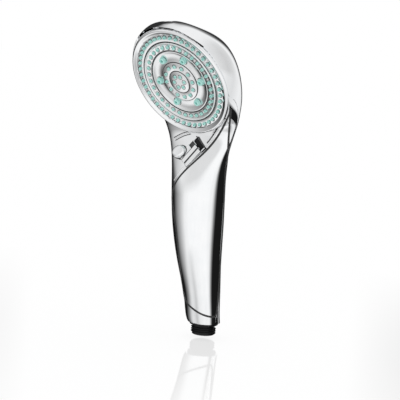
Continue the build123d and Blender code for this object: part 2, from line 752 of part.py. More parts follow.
# Manifold behind the nozzles: a chamber for each ring, fed by holes in its base
manifold_radius = opening_radius - 0.3
chamber_walls = [
    (face_radius - 1.75, face_radius - 0.45),
    (middle_ring_radius + 2.2, outer_ring_radius - 2.2),
    (jet_ring_radius + 3.8, middle_ring_radius - 2.2),
    (inner_ring_radius + 2.2, jet_ring_radius - 3.8),
    (centre_ring_radius + 2.2, inner_ring_radius - 2.2),
]
screw_ring = (middle_ring_radius + outer_ring_radius) / 2
screw_count = 6
screw_radius = 1.1
split_radius = jet_ring_radius - 1.2
feed_rings = [
    (outer_ring_radius - 0.8, 10, 1.4),
    (middle_ring_radius, 8, feed_hole_radius),
    (inner_ring_radius, 6, 1.6),
    (jet_ring_radius - 2.6, 6, 0.9),
    (centre_ring_radius, 3, 1.2),
]
with BuildPart() as spray_manifold:
    rod(face_plane, manifold_radius, base_bottom, base_top)
    for inner, outer in chamber_walls:
        band(face_plane, inner, outer, base_top, web_bottom)
    for ring, count, size in feed_rings:
        with BuildSketch(face_plane.offset(base_bottom)):
            with PolarLocations(ring, count, start_angle=30):
                Circle(size)
        extrude(amount=manifold_base, mode=Mode.SUBTRACT)
    with BuildSketch(face_plane.offset(base_bottom)):
        with PolarLocations(screw_ring, screw_count):
            Circle(screw_radius + seal_gap)
    extrude(amount=5.5, mode=Mode.SUBTRACT)
spray_manifold.part.label = "spray_manifold"
export_step(spray_manifold.part, "parts/spray_manifold.step")

# Tray that closes the manifold's back and splits the water between two plenums
tray_radius = outer_ring_radius + 1.4
tab_low = -46.5
tab_sides = (-7.8, 12.8)
tab_back = -18.0
tray_floor = cover_bottom + 1.4
duct_half = 2.6


def tray_outline(start, end):
    """Round tray with its tab, in the piece being built."""
    rod(face_plane, tray_radius, start, end)
    block(face_plane, tab_sides, (tab_low, -30), (start, end))


def tray_pockets(start, end):
    """Both plenums and their ducts, cut out of the piece being built."""
    band(face_plane, split_radius + manifold_wall, tray_radius - manifold_wall, start, end, Mode.SUBTRACT)
    rod(face_plane, split_radius, start, end, Mode.SUBTRACT)
    for target, stop in zip(outlet_targets, (-split_radius + 2, -28)):
        sides = (target[0] - duct_half, target[0] + duct_half)
        block(face_plane, sides, (-42.6, stop), (start, end), Mode.SUBTRACT)


def tray_walls(start, end):
    """Walls of the long duct and the screw posts, put back into the piece being built."""
    middle = outlet_targets[0][0]
    for side in (-duct_half - 1.2, duct_half):
        sides = (middle + side, middle + side + 1.2)
        block(face_plane, sides, (-40, -split_radius), (start, end))
    with BuildSketch(face_plane.offset(start)) as shape:
        with PolarLocations(screw_ring, screw_count):
            Circle(2.6)
    extrude(shape.sketch, amount=end - start)
    with BuildSketch(face_plane.offset(start)) as shape:
        with PolarLocations(screw_ring, screw_count):
            Circle(screw_radius + fit_gap)
    extrude(shape.sketch, amount=end - start, mode=Mode.SUBTRACT)


with BuildPart() as manifold_cover:
    tray_outline(cover_bottom, gasket_bottom)
    block(face_plane, tab_sides, (tab_low, -36), (tab_back, gasket_bottom))
    for pipe, length in zip(outlet_planes, outlet_lengths):
        rod(pipe, outlet_radius + 0.8, length - 7, length)
    rod(face_plane, manifold_radius + 0.4, gasket_bottom, 0, Mode.SUBTRACT)
    tray_pockets(tray_floor, gasket_bottom)
    tray_walls(tray_floor, gasket_bottom)
    with BuildSketch(face_plane.offset(cover_bottom)):
        with PolarLocations(screw_ring, screw_count):
            Circle(screw_radius + fit_gap)
    extrude(amount=cover_depth, mode=Mode.SUBTRACT)
    for pipe, length in zip(outlet_planes, outlet_lengths):
        rod(pipe, outlet_radius + fit_gap, length - 12, length - 1 + fit_gap, Mode.SUBTRACT)
        rod(pipe, outlet_radius - outlet_wall, length - 3, length, Mode.SUBTRACT)
manifold_cover.part.label = "manifold_cover"
export_step(manifold_cover.part, "parts/manifold_cover.step")

# Gasket between the manifold and its tray
with BuildPart() as manifold_seal:
    rod(face_plane, tray_radius, gasket_bottom, base_bottom)
    tray_pockets(gasket_bottom, base_bottom)
    tray_walls(gasket_bottom, base_bottom)
manifold_seal.part.label = "manifold_seal"
export_step(manifold_seal.part, "parts/manifold_seal.step")

# Screws that pull the tray up to the manifold
with BuildPart() as manifold_screws:
    with BuildSketch(face_plane.offset(cover_bottom - 1.4)):
        with PolarLocations(screw_ring, screw_count):
            Circle(2.1)
    extrude(amount=1.4)
    with BuildSketch(face_plane.offset(cover_bottom)):
        with PolarLocations(screw_ring, screw_count):
            Circle(screw_radius)
    extrude(amount=base_bottom + 5.3 - cover_bottom)
manifold_screws.part.label = "manifold_screws"
export_step(manifold_screws.part, "parts/manifold_screws.step")
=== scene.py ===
"""Looks of a handheld shower head: chrome shells, a silver spray face with soft green nozzles,
a thumb slider on the neck and a black threaded inlet. Metres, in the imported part's own frame."""

import json
import math

import bpy
import numpy
from mathutils import Matrix, Vector
from mathutils.bvhtree import BVHTree
from mathutils.interpolate import poly_3d_calc


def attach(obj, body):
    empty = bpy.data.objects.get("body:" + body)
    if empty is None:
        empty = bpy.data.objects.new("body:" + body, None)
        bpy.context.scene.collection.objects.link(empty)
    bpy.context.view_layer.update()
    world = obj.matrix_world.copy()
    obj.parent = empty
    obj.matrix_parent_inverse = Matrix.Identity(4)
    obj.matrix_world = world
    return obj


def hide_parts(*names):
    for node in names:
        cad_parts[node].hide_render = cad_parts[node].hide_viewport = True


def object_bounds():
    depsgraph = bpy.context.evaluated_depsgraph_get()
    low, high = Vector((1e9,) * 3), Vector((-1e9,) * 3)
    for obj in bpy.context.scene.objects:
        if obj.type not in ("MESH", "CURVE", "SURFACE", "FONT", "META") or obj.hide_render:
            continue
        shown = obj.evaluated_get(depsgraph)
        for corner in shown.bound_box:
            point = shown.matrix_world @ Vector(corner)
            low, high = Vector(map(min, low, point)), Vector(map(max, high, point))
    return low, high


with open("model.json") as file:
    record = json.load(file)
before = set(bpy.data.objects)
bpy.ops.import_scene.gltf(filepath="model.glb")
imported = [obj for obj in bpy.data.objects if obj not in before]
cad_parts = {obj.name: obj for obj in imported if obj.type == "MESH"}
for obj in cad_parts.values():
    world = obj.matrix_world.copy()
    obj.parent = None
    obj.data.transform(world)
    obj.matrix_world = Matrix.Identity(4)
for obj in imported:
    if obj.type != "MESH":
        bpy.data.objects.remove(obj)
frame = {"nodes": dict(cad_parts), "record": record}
cad_low, cad_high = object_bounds()
nodes = frame["nodes"]
MM = 0.001

# Spray face: its tilt and centre, and the radius and count of each ring of nozzles
FACE_TILT = math.radians(28.6)
FACE_CENTRE = Vector((0, -54.6, 212.4)) * MM
RING_START = math.radians(5)
RINGS = {
    "outer_nozzles": (39.3, 44),
    "middle_nozzles": (30.8, 32),
    "inner_nozzles": (13.4, 12),
    "centre_nozzles": (5.2, 6),
}
JET_RING = (21.5, 6)
# Grooves of the face, filled with painted shade: inner and outer radius, and level
GROOVES = [(35.2, 36.05, 0.7), (27.25, 28.2, 0.4), (17.05, 17.55, 0.1), (9.45, 10.15, 0.95)]
SEAT_LEVELS = {"outer_nozzles": 0.8, "middle_nozzles": 1.12, "inner_nozzles": 1.15, "centre_nozzles": 1.62}
JET_SEAT_LEVEL = -0.12

# Photograph's camera: turn round the object, height, roll and scale
PHOTO_TURN = math.radians(38.2)
PHOTO_RISE = math.radians(8.0)
PHOTO_ROLL = math.radians(4.4)
PHOTO_SIDE = 400
PHOTO_MM_PER_PIXEL = 0.812
ORIGIN_PIXEL = (203.0, 337.9)
CAMERA_LENS = 150.0
CAMERA_SENSOR = 36.0

# Slider on the neck: where it sits, how the neck leans there and which way it travels
SLIDE_CENTRE = Vector((1.5, -36.4, 153.0)) * MM
SLIDE_LEAN = math.radians(11)
SLIDE_TURN = math.radians(37)

# Inlet thread: its section, how far up it starts, its turns and the steps of each turn
THREAD_RADIUS = 10.4775
THREAD_DEPTH = 1.16
THREAD_PITCH = 1.814
THREAD_START = 0.35
THREAD_TURNS = 3
INLET_STEPS = 64

# Body form: y, height, lean, half width, depth behind and depth in front of each section of the handle
HANDLE_ROWS = [
    (0, 10.4, 0, 13.5, 13.5, 13.5),
    (-4.3, 28.0, 7, 15.2, 14.2, 14.6),
    (-11.2, 62.0, 10.5, 18.6, 15.2, 18.6),
    (-17.2, 104.0, 10.5, 22.4, 15.4, 23.2),
    (-20.2, 132.0, 11, 23.8, 16.0, 22.0),
    (-23.0, 153.0, 15, 27.2, 16.5, 15.0),
]
# Head: the turns on its rim that give the place up the face and the half width, the setback and both depths
HEAD_RADIUS = 50.3
HEAD_TURNS = [
    (-26, -25, 12.0, 16.0, 34),
    (4.5, 4.5, 12.0, 19.0, 36),
    (32.5, 31.5, 11.5, 19.5, 34),
    (54.5, 54.5, 8.0, 12.5, 24),
    (71, 72, 5.8, 7.0, 11),
    (84, 84, 4.4, 2.4, 3.6),
]
# Place up the face, setback, half width, depth behind and depth in front of each section of the head
HEAD_ROWS = [(-40, 9.5, 39.0, 14.5, 8.0), (-31, 10.8, 42.6, 15.4, 18.0)]
for up_turn, wide_turn, setback, behind, before in HEAD_TURNS:
    up_place = HEAD_RADIUS * math.sin(math.radians(up_turn))
    HEAD_ROWS.append((up_place, setback, HEAD_RADIUS * math.cos(math.radians(wide_turn)), behind, before))

# Steps of the splined form round each ring and between two sections
FORM_COLUMNS = 144
FORM_STEPS = 18

# Skin of the shells: how near to the form a face lies and how well it agrees with the form's normal
SKIN_REACH = 1.5
SKIN_AGREEMENT = 0.85
SHELL_CREASE = 28
MERGE_GAP = 0.002 * MM

face_out = Vector((0, -math.cos(FACE_TILT), -math.sin(FACE_TILT)))
face_up = Vector((0, -math.sin(FACE_TILT), math.cos(FACE_TILT)))


def axes_at(origin, x_axis, y_axis, z_axis):
    """Matrix of a frame from its origin and three axes."""
    turn = Matrix((x_axis, y_axis, z_axis)).transposed().to_4x4()
    return Matrix.Translation(origin) @ turn


face_frame = axes_at(FACE_CENTRE, Vector((1, 0, 0)), face_up, face_out)
neck_out = Vector((0, -math.cos(SLIDE_LEAN), math.sin(SLIDE_LEAN)))
neck_up = Vector((0, math.sin(SLIDE_LEAN), math.cos(SLIDE_LEAN)))
travel = Vector((1, 0, 0)) * math.sin(SLIDE_TURN) + neck_up * math.cos(SLIDE_TURN)
slide_frame = axes_at(SLIDE_CENTRE, travel, neck_out.cross(travel), neck_out)
view_right = Vector((math.cos(PHOTO_TURN), math.sin(PHOTO_TURN), 0))
view_out = Vector((math.sin(PHOTO_TURN), -math.cos(PHOTO_TURN), 0))


# Materials


class Value:
    """A socket of a finish, with arithmetic that adds Math nodes."""

    def __init__(self, finish, socket):
        self.finish = finish
        self.socket = socket

    def math(self, operation, first, second):
        node = self.finish.node("ShaderNodeMath", {"operation": operation}, {0: first, 1: second})
        return Value(self.finish, node.outputs[0])

    def __add__(self, other):
        return self.math("ADD", self, other)

    def __radd__(self, other):
        return self.math("ADD", other, self)

    def __sub__(self, other):
        return self.math("SUBTRACT", self, other)

    def __rsub__(self, other):
        return self.math("SUBTRACT", other, self)

    def __mul__(self, other):
        return self.math("MULTIPLY", self, other)

    def __rmul__(self, other):
        return self.math("MULTIPLY", other, self)

    def __gt__(self, other):
        return self.math("GREATER_THAN", self, other)


class Finish:
    """A node tree that is filled by one node-making method."""

    def __init__(self, tree):
        self.tree = tree
        tree.nodes.clear()

    def node(self, kind, settings=None, sockets=None):
        made = self.tree.nodes.new(kind)
        for name, value in (settings or {}).items():
            if name == "stops":
                ramp = made.color_ramp
                while len(ramp.elements) < len(value):
                    ramp.elements.new(0.5)
                for element, (place, colour) in zip(ramp.elements, value):
                    element.position = place
                    element.color = (*colour, 1)
            else:
                setattr(made, name, value)
        for name, value in (sockets or {}).items():
            if isinstance(value, Value):
                self.tree.links.new(value.socket, made.inputs[name])
            else:
                made.inputs[name].default_value = value
        return made

    def out(self, made, name=0):
        return Value(self, made.outputs[name])

    def place(self, scale=(1, 1, 1)):
        """Object coordinates of the piece, stretched."""
        where = self.node("ShaderNodeTexCoord")
        mapped = self.node("ShaderNodeMapping", None, {"Vector": self.out(where, "Object"), "Scale": scale})
        return self.out(mapped)

    def noise(self, scale, detail=3.0, stretch=(1, 1, 1)):
        made = self.node(
            "ShaderNodeTexNoise",
            None,
            {"Vector": self.place(stretch), "Scale": scale, "Detail": detail},
        )
        return self.out(made, "Factor" if "Factor" in made.outputs else 0)

    def ramp(self, factor, stops):
        made = self.node("ShaderNodeValToRGB", {"stops": stops}, {"Fac": factor})
        return self.out(made)

    def greys(self, factor, stops):
        """Ramp of plain greys, each stop a place and a tone."""
        return self.ramp(factor, [(place, (tone, tone, tone)) for place, tone in stops])

    def part(self, vector, axis):
        """One coordinate of a vector."""
        return self.out(self.node("ShaderNodeSeparateXYZ", None, {0: vector}), axis)

    def bump(self, height, strength, distance):
        made = self.node(
            "ShaderNodeBump", None, {"Height": height, "Strength": strength, "Distance": distance}
        )
        return self.out(made)

    def mix(self, factor, first, second):
        """Two shaders mixed, all of the second where the factor is 1."""
        sockets = {0: factor, 1: self.out(first), 2: self.out(second)}
        return self.node("ShaderNodeMixShader", None, sockets)

    def end(self, kind, shader):
        self.node(kind, None, {"Surface": self.out(shader)})

    def surface(self, sockets):
        shader = self.node("ShaderNodeBsdfPrincipled", None, sockets)
        self.end("ShaderNodeOutputMaterial", shader)


def new_material(name):
    material = bpy.data.materials.new(name)
    material.use_nodes = True
    return material, Finish(material.node_tree)


def chrome(name, tone, rough_low, rough_high):
    """Chrome plating: nearly a mirror, with faint haze where it has dried and been wiped."""
    material, finish = new_material(name)
    haze = finish.noise(55.0, 4.0)
    wipe = finish.noise(420.0, 2.0, (1, 1, 0.08))
    film = haze * 0.7 + wipe * 0.3
    dark = tuple(tone * part for part in (0.97, 0.985, 1.0))
    bright = tuple(min(1.0, tone * part * 1.05) for part in (0.99, 0.995, 1.0))
    colour = finish.ramp(film, [(0.3, dark), (0.7, bright)])
    finish.surface(
        {
            "Base Color": colour,
            "Metallic": 1.0,
            "Roughness": film * (rough_high - rough_low) + rough_low,
        }
    )
    return material


def silver_face():
    """Pale metallic lacquer on the spray face, slightly grained."""
    material, finish = new_material("silver lacquer")
    grain = finish.noise(900.0, 2.0)
    cloud = finish.noise(60.0, 3.0)
    colour = finish.ramp(cloud, [(0.3, (0.83, 0.84, 0.85)), (0.75, (0.91, 0.92, 0.925))])
    finish.surface(
        {
            "Base Color": colour,
            "Metallic": 1.0,
            "Roughness": grain * 0.06 + 0.1,
            "Normal": finish.bump(grain, 0.04, 0.0002),
        }
    )
    return material


def green_silicone():
    """Soft pale green silicone with a moulded bloom."""
    material, finish = new_material("pale green silicone")
    bloom = finish.noise(500.0, 3.0)
    colour = finish.ramp(bloom, [(0.3, (0.28, 0.63, 0.57)), (0.7, (0.48, 0.8, 0.74))])
    finish.surface(
        {
            "Base Color": colour,
            "Roughness": bloom * 0.12 + 0.14,
            "Coat Weight": 0.8,
            "Coat Roughness": 0.06,
            "Normal": finish.bump(bloom, 0.08, 0.0002),
        }
    )
    return material


def black_moulding():
    """Black moulded plastic with a fine grain."""
    material, finish = new_material("black moulding")
    grain = finish.noise(1200.0, 2.0)
    scuff = finish.noise(90.0, 4.0)
    colour = finish.ramp(scuff, [(0.35, (0.003, 0.003, 0.0035)), (0.75, (0.009, 0.009, 0.01))])
    finish.surface(
        {
            "Base Color": colour,
            "Roughness": scuff * 0.2 + 0.25,
            "Specular IOR Level": 0.2,
            "Normal": finish.bump(grain, 0.1, 0.0002),
        }
    )
    return material


def pale_moulding(name, low, high):
    """Plain pale moulded plastic of the inner pieces."""
    material, finish = new_material(name)
    grain = finish.noise(700.0, 3.0)
    colour = finish.ramp(grain, [(0.3, low), (0.7, high)])
    finish.surface(
        {
            "Base Color": colour,
            "Roughness": grain * 0.2 + 0.4,
            "Normal": finish.bump(grain, 0.08, 0.0002),
        }
    )
    return material


def seal_rubber():
    """Black rubber of the rings and gasket, also laid as painted shade along the cover's rim and beside its
    beads.
    """
    material, finish = new_material("seal rubber")
    bloom = finish.noise(600.0, 3.0)
    colour = finish.ramp(bloom, [(0.3, (0.012, 0.012, 0.012)), (0.7, (0.035, 0.035, 0.035))])
    finish.surface({"Base Color": colour, "Roughness": bloom * 0.2 + 0.6})
    return material


def screw_steel():
    """Plain steel with fine turning marks."""
    material, finish = new_material("screw steel")
    turned = finish.noise(800.0, 2.0, (1, 1, 6))
    colour = finish.ramp(turned, [(0.3, (0.46, 0.46, 0.47)), (0.7, (0.62, 0.62, 0.63))])
    finish.surface({"Base Color": colour, "Metallic": 1.0, "Roughness": turned * 0.15 + 0.25})
    return material


body_chrome = chrome("body chrome", 0.9, 0.03, 0.07)
cover_chrome = chrome("cover chrome", 0.93, 0.03, 0.06)
trim_chrome = chrome("trim chrome", 0.91, 0.04, 0.09)
# Near black chrome: painted shade in the nozzles' seats, the face's grooves, the slider's grooves and beside
# the neck's bead
shade_chrome = chrome("seat shadow chrome", 0.08, 0.2, 0.35)
face_silver = silver_face()
nozzle_green = green_silicone()
# Black moulding of the inlet, also laid in the slider's pocket as painted shade
black_plastic_and_shade = black_moulding()
manifold_white = pale_moulding("white moulding", (0.70, 0.70, 0.68), (0.78, 0.78, 0.76))
valve_pale = pale_moulding("pale moulding", (0.74, 0.75, 0.75), (0.82, 0.83, 0.83))
rubber_and_shade = seal_rubber()
plain_steel = screw_steel()
SLOT_LOOKS = {
    "chrome_body": body_chrome,
    "chrome_cover": cover_chrome,
    "chrome_trim": trim_chrome,
    "face_silver": face_silver,
    "silicone": nozzle_green,
    "inner_plastic": manifold_white,
    "valve_plastic": valve_pale,
    "seal_rubber": rubber_and_shade,
    "screw_steel": plain_steel,
    "black_plastic": black_plastic_and_shade,
}
for entry in frame["record"]["subparts"]:
    mesh = nodes[entry["node"]].data
    mesh.materials.clear()
    mesh.materials.append(SLOT_LOOKS[entry["material_slot"]])


# Modelling


def deselect():
    if bpy.context.mode != "OBJECT":
        bpy.ops.object.mode_set(mode="OBJECT")
    bpy.ops.object.select_all(action="DESELECT")


def activate(piece):
    deselect()
    piece.select_set(True)
    bpy.context.view_layer.objects.active = piece


def settle(piece, placing):
    """Put a modelled piece in its place, with the place in its mesh."""
    piece.matrix_world = placing
    activate(piece)
    bpy.ops.object.transform_apply(location=True, rotation=True, scale=True)


def draw(name, profile):
    """Line of vertices through (radius, height) points in millimetres, left in edit mode."""
    deselect()
    bpy.ops.mesh.primitive_plane_add(size=MM)
    piece = bpy.context.object
    piece.name = name
    bpy.ops.object.mode_set(mode="EDIT")
    bpy.ops.mesh.merge(type="CENTER")
    here = Vector((profile[0][0], 0, profile[0][1])) * MM
    bpy.ops.transform.translate(value=here)
    for radius, height in profile[1:]:
        there = Vector((radius, 0, height)) * MM
        bpy.ops.mesh.extrude_region_move(TRANSFORM_OT_translate={"value": there - here})
        here = there
    bpy.ops.mesh.select_all(action="SELECT")
    return piece


def lathe(name, profile, steps):
    """Turn a profile round Z into a closed piece."""
    piece = draw(name, profile)
    bpy.ops.mesh.spin(steps=steps, angle=2 * math.pi, center=(0, 0, 0), axis=(0, 0, 1))
    bpy.ops.mesh.select_all(action="SELECT")
    bpy.ops.mesh.remove_doubles(threshold=MERGE_GAP)
    bpy.ops.mesh.normals_make_consistent(inside=False)
    bpy.ops.object.mode_set(mode="OBJECT")
    return piece


def rounded_block(name, low, high, bevel):
    """Box between two corners in millimetres, with rounded edges."""
    low = Vector(low)
    high = Vector(high)
    deselect()
    bpy.ops.mesh.primitive_cube_add(size=1, location=(low + high) / 2 * MM)
    piece = bpy.context.object
    piece.name = name
    piece.scale = (high - low) * MM
    bpy.ops.object.transform_apply(location=True, rotation=True, scale=True)
    bpy.ops.object.mode_set(mode="EDIT")
    bpy.ops.mesh.select_all(action="SELECT")
    bpy.ops.mesh.bevel(offset=bevel * MM, segments=3, affect="EDGES")
    bpy.ops.object.mode_set(mode="OBJECT")
    return piece


def join(pieces, name):
    deselect()
    for piece in pieces:
        piece.select_set(True)
    bpy.context.view_layer.objects.active = pieces[0]
    bpy.ops.object.join()
    joined = bpy.context.object
    joined.name = name
    return joined


def ring_of(piece, radius, count, start, name):
    """Copy a piece round a ring and join the copies."""
    copies = []
    for index in range(count):
        turn = start + index * 2 * math.pi / count
        copy = piece.copy()
        copy.data = piece.data.copy()
        bpy.context.scene.collection.objects.link(copy)
        place = Vector((math.cos(turn), math.sin(turn), 0)) * radius * MM
        copy.matrix_world = Matrix.Translation(place) @ Matrix.Rotation(turn, 4, "Z")
        copies.append(copy)
    deselect()
    for copy in copies:
        copy.select_set(True)
    bpy.context.view_layer.objects.active = copies[0]
    bpy.ops.object.transform_apply(location=True, rotation=True, scale=True)
    bpy.ops.object.join()
    joined = bpy.context.object
    joined.name = name
    return joined


def dress(piece, material, slot, body, *replaced):
    """Give a piece its finish and its body, and hide the solids that it stands in for."""
    piece.data.materials.clear()
    piece.data.materials.append(material)
    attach(piece, body)
    if replaced:
        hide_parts(*replaced)


def smooth(piece, degrees):
    activate(piece)
    bpy.ops.object.shade_smooth_by_angle(angle=math.radians(degrees), keep_sharp_edges=False)


def body_form(columns, steps):
    """Points of the uncut body: rings through its sections, splined from foot to crown."""
    frames = []
    for y, height, lean, half_width, behind, before in HANDLE_ROWS:
        lean = math.radians(lean)
        back = Vector((0, math.cos(lean), math.sin(lean)))
        frames.append((Vector((0, y, height)), back, half_width, behind, before))
    for up_place, setback, half_width, behind, before in HEAD_ROWS:
        origin = FACE_CENTRE / MM + face_up * up_place - face_out * setback
        frames.append((origin, -face_out, half_width, behind, before))
    rings = []
    for origin, back, half_width, behind, before in frames:
        ring = []
        for column in range(columns):
            turn = 2 * math.pi * column / columns
            depth = (behind if math.sin(turn) > 0 else before) * math.sin(turn)
            ring.append(origin + Vector((half_width * math.cos(turn), 0, 0)) + back * depth)
        rings.append(ring)
    rings = numpy.array(rings)
    count = len(rings)
    lengths = numpy.linalg.norm(numpy.diff(rings, axis=0), axis=2).mean(axis=1)
    matrix = numpy.eye(count)
    target = numpy.zeros_like(rings)
    for row in range(1, count - 1):
        before, after = lengths[row - 1], lengths[row]
        matrix[row, row - 1 : row + 2] = before, 2 * (before + after), after
        rise_after = (rings[row + 1] - rings[row]) / after
        target[row] = 6 * (rise_after - (rings[row] - rings[row - 1]) / before)
    bend = numpy.linalg.solve(matrix, target.reshape(count, -1)).reshape(rings.shape)
    form = []
    for row in range(count - 1):
        span = lengths[row]
        for step in range(steps + (row == count - 2)):
            b = step / steps
            a = 1 - b
            line = a * rings[row] + b * rings[row + 1]
            curve = (a**3 - a) * bend[row] + (b**3 - b) * bend[row + 1]
            form.append(line + curve * span * span / 6)
    return numpy.array(form) * MM


form_points = body_form(FORM_COLUMNS, FORM_STEPS)
form_rows, form_columns = form_points.shape[:2]
down_rows = numpy.gradient(form_points, axis=0)
round_ring = numpy.roll(form_points, -1, axis=1) - numpy.roll(form_points, 1, axis=1)
form_normals = numpy.cross(round_ring, down_rows)
form_normals /= numpy.linalg.norm(form_normals, axis=2, keepdims=True)
form_vertices = [Vector(point) for point in form_points.reshape(-1, 3)]
form_ways = [Vector(way) for way in form_normals.reshape(-1, 3)]
form_faces = []
for row in range(form_rows - 1):
    for column in range(form_columns):
        beside = (column + 1) % form_columns
        low = row * form_columns
        high = low + form_columns
        form_faces.append((low + column, low + beside, high + beside, high + column))
form_tree = BVHTree.FromPolygons(form_vertices, form_faces)


def form_normal(place):
    """Normal of the uncut body nearest to a place, and how far off the place is."""
    spot, _, index, gap = form_tree.find_nearest(place)
    corners = form_faces[index]
    weights = poly_3d_calc([form_vertices[corner] for corner in corners], spot)
    normal = Vector((0, 0, 0))
    for corner, weight in zip(corners, weights):
        normal += form_ways[corner] * weight
    return normal.normalized(), gap


def polished(node, name, degrees):
    """Smooth copy of a solid's mesh, with its split corners merged."""
    activate(nodes[node])
    bpy.ops.object.duplicate()
    piece = bpy.context.object
    piece.name = name
    bpy.ops.object.mode_set(mode="EDIT")
    bpy.ops.mesh.select_all(action="SELECT")
    bpy.ops.mesh.remove_doubles(threshold=MERGE_GAP)
    bpy.ops.object.mode_set(mode="OBJECT")
    smooth(piece, degrees)
    return piece


def polish_skin(piece):
    """Give the outer faces of a shell the body's own smooth normals."""
    mesh = piece.data
    found = [form_normal(vertex.co) for vertex in mesh.vertices]
    ways = [(0, 0, 0)] * len(mesh.loops)
    for polygon in mesh.polygons:
        near = [found[index] for index in polygon.vertices]
        close = all(gap < SKIN_REACH * MM for _, gap in near)
        if close and all(normal.dot(polygon.normal) > SKIN_AGREEMENT for normal, _ in near):
            for loop, (normal, _) in zip(polygon.loop_indices, near):
                ways[loop] = normal
    mesh.normals_split_custom_set(ways)


# Chrome shells, cover and bezel
for node, look, slot in (
    ("rear_shell", body_chrome, "chrome_body"),
    ("front_shell", body_chrome, "chrome_body"),
    ("wrap_cover", cover_chrome, "chrome_cover"),
    ("bezel_ring", trim_chrome, "chrome_trim"),
):
    shell = polished(node, node + "_polished", SHELL_CREASE)
    if slot != "chrome_trim":
        polish_skin(shell)
    dress(shell, look, slot, "handset", node)

# Inlet: a hollow stub with a flange, and the helical thread round it
inlet_profile = [
    (7.6, 0.1), (8.9, 0.0), (9.35, 0.3), (9.35, 8.2), (9.7, 8.4), (11.4, 8.4), (11.75, 8.6), (11.85, 8.9),
    (11.85, 9.9), (11.6, 10.25), (9.4, 10.3), (9.4, 25.4), (3.4, 25.4), (3.4, 6.0), (7.6, 6.0), (7.6, 0.1),
]
inlet = lathe("inlet_stub", inlet_profile, INLET_STEPS)
root = THREAD_RADIUS - THREAD_DEPTH
thread_profile = [
    (root, 0.0), (root, 0.3), (THREAD_RADIUS - 0.1, 0.72), (THREAD_RADIUS, 0.82), (THREAD_RADIUS, 1.0),
    (THREAD_RADIUS - 0.1, 1.1), (root, 1.52), (root, THREAD_PITCH),
]
thread = draw("inlet_thread", thread_profile)
bpy.ops.object.mode_set(mode="OBJECT")
bpy.ops.object.modifier_add(type="SCREW")
screw = thread.modifiers[-1]
screw.axis = "Z"
screw.screw_offset = THREAD_PITCH * MM
screw.iterations = THREAD_TURNS
screw.steps = INLET_STEPS
screw.render_steps = INLET_STEPS
screw.use_merge_vertices = True
bpy.ops.object.modifier_apply(modifier=screw.name)
bpy.ops.transform.translate(value=(0, 0, THREAD_START * MM))
bpy.ops.object.transform_apply(location=True, rotation=True, scale=True)
bpy.ops.object.mode_set(mode="EDIT")
bpy.ops.mesh.select_all(action="SELECT")
bpy.ops.mesh.normals_make_consistent(inside=False)
bpy.ops.object.mode_set(mode="OBJECT")
inlet = join([inlet, thread], "inlet_threaded")
smooth(inlet, 35)
dress(inlet, black_plastic_and_shade, "black_plastic", "handset", "inlet_connector")

# Thumb slider: base plate, two ribs with a groove between them, a step and a domed thumb knob
KNOB_STEPS = 48
KNOB_STRETCH = (1.12, 0.88, 1)
KNOB_TURN = math.radians(-20)
KNOB_PLACE = Vector((-5.8, 9.0, 0)) * MM


def place_at_knob(piece):
    """Stretch, turn and move a round piece to where the knob stands on the slider."""
    piece.scale = KNOB_STRETCH
    piece.rotation_euler = (0, 0, KNOB_TURN)
    piece.location = KNOB_PLACE
    activate(piece)
    bpy.ops.object.transform_apply(location=True, rotation=True, scale=True)


slider_base = rounded_block("slider_base", (-9, -5.5, -3), (9, 8, -0.6), 0.3)
rib_low = rounded_block("slider_rib_low", (-9, -5.5, -1.2), (9, -2.2, 1.6), 0.45)
rib_high = rounded_block("slider_rib_high", (-9, -0.8, -1.2), (9, 2.5, 1.6), 0.45)
slider_step = rounded_block("slider_step", (-9, 2.5, -1.2), (4, 8, 0.8), 0.3)
knob_profile = [
    (0.0, 0.3), (5.6, 0.3), (5.7, 1.0), (5.65, 3.2), (5.45, 3.9),
    (5.0, 4.5), (4.3, 4.85), (3.0, 5.08), (1.5, 5.17), (0.0, 5.2),
]
knob = lathe("slider_knob", knob_profile, KNOB_STEPS)
place_at_knob(knob)
slider = join([slider_base, rib_low, rib_high, slider_step, knob], "slider_shaped")
settle(slider, slide_frame)
smooth(slider, 40)
dress(slider, trim_chrome, "chrome_trim", "selector", "selector_slider")

# Painted shade in the slider's grooves: near black fillers between its ribs, beside its step and round the
# knob's foot
slot_low = rounded_block("slider_slot_low", (-8.5, -2.3, -0.8), (8.5, -0.7, 0.9), 0.05)
slot_high = rounded_block("slider_slot_high", (-8.5, 2.3, -0.8), (4.2, 3.2, 0.92), 0.05)
slot_end = rounded_block("slider_slot_end", (3.9, 2.6, -0.8), (8.6, 7.7, -0.45), 0.05)
foot_profile = [(5.5, 0.2), (6.2, 0.2), (6.2, 0.95), (5.9, 1.1), (5.5, 0.2)]
foot_shade_ring = lathe("knob_foot", foot_profile, KNOB_STEPS)
place_at_knob(foot_shade_ring)
slot_shade = join([slot_low, slot_high, slot_end, foot_shade_ring], "slider_slot_shade")
settle(slot_shade, slide_frame)
smooth(slot_shade, 40)
dress(slot_shade, shade_chrome, "chrome_trim", "selector")

# Lines drawn in the view that the leaf cover faces: the cover's edge from its tip down, and the neck's step
COVER_EDGE = [
    (7.6, 194), (4.5, 183), (-3.3, 165.8), (-14.4, 151.7), (-26.4, 138.1), (-33.3, 123.8), (-33.7, 115),
    (-30.5, 99.5), (-21.6, 49.4), (-16.8, 28.5),
]
NECK_STEP = [(-35.4, 162.8), (-29.2, 167.2), (-23.0, 170.0)]
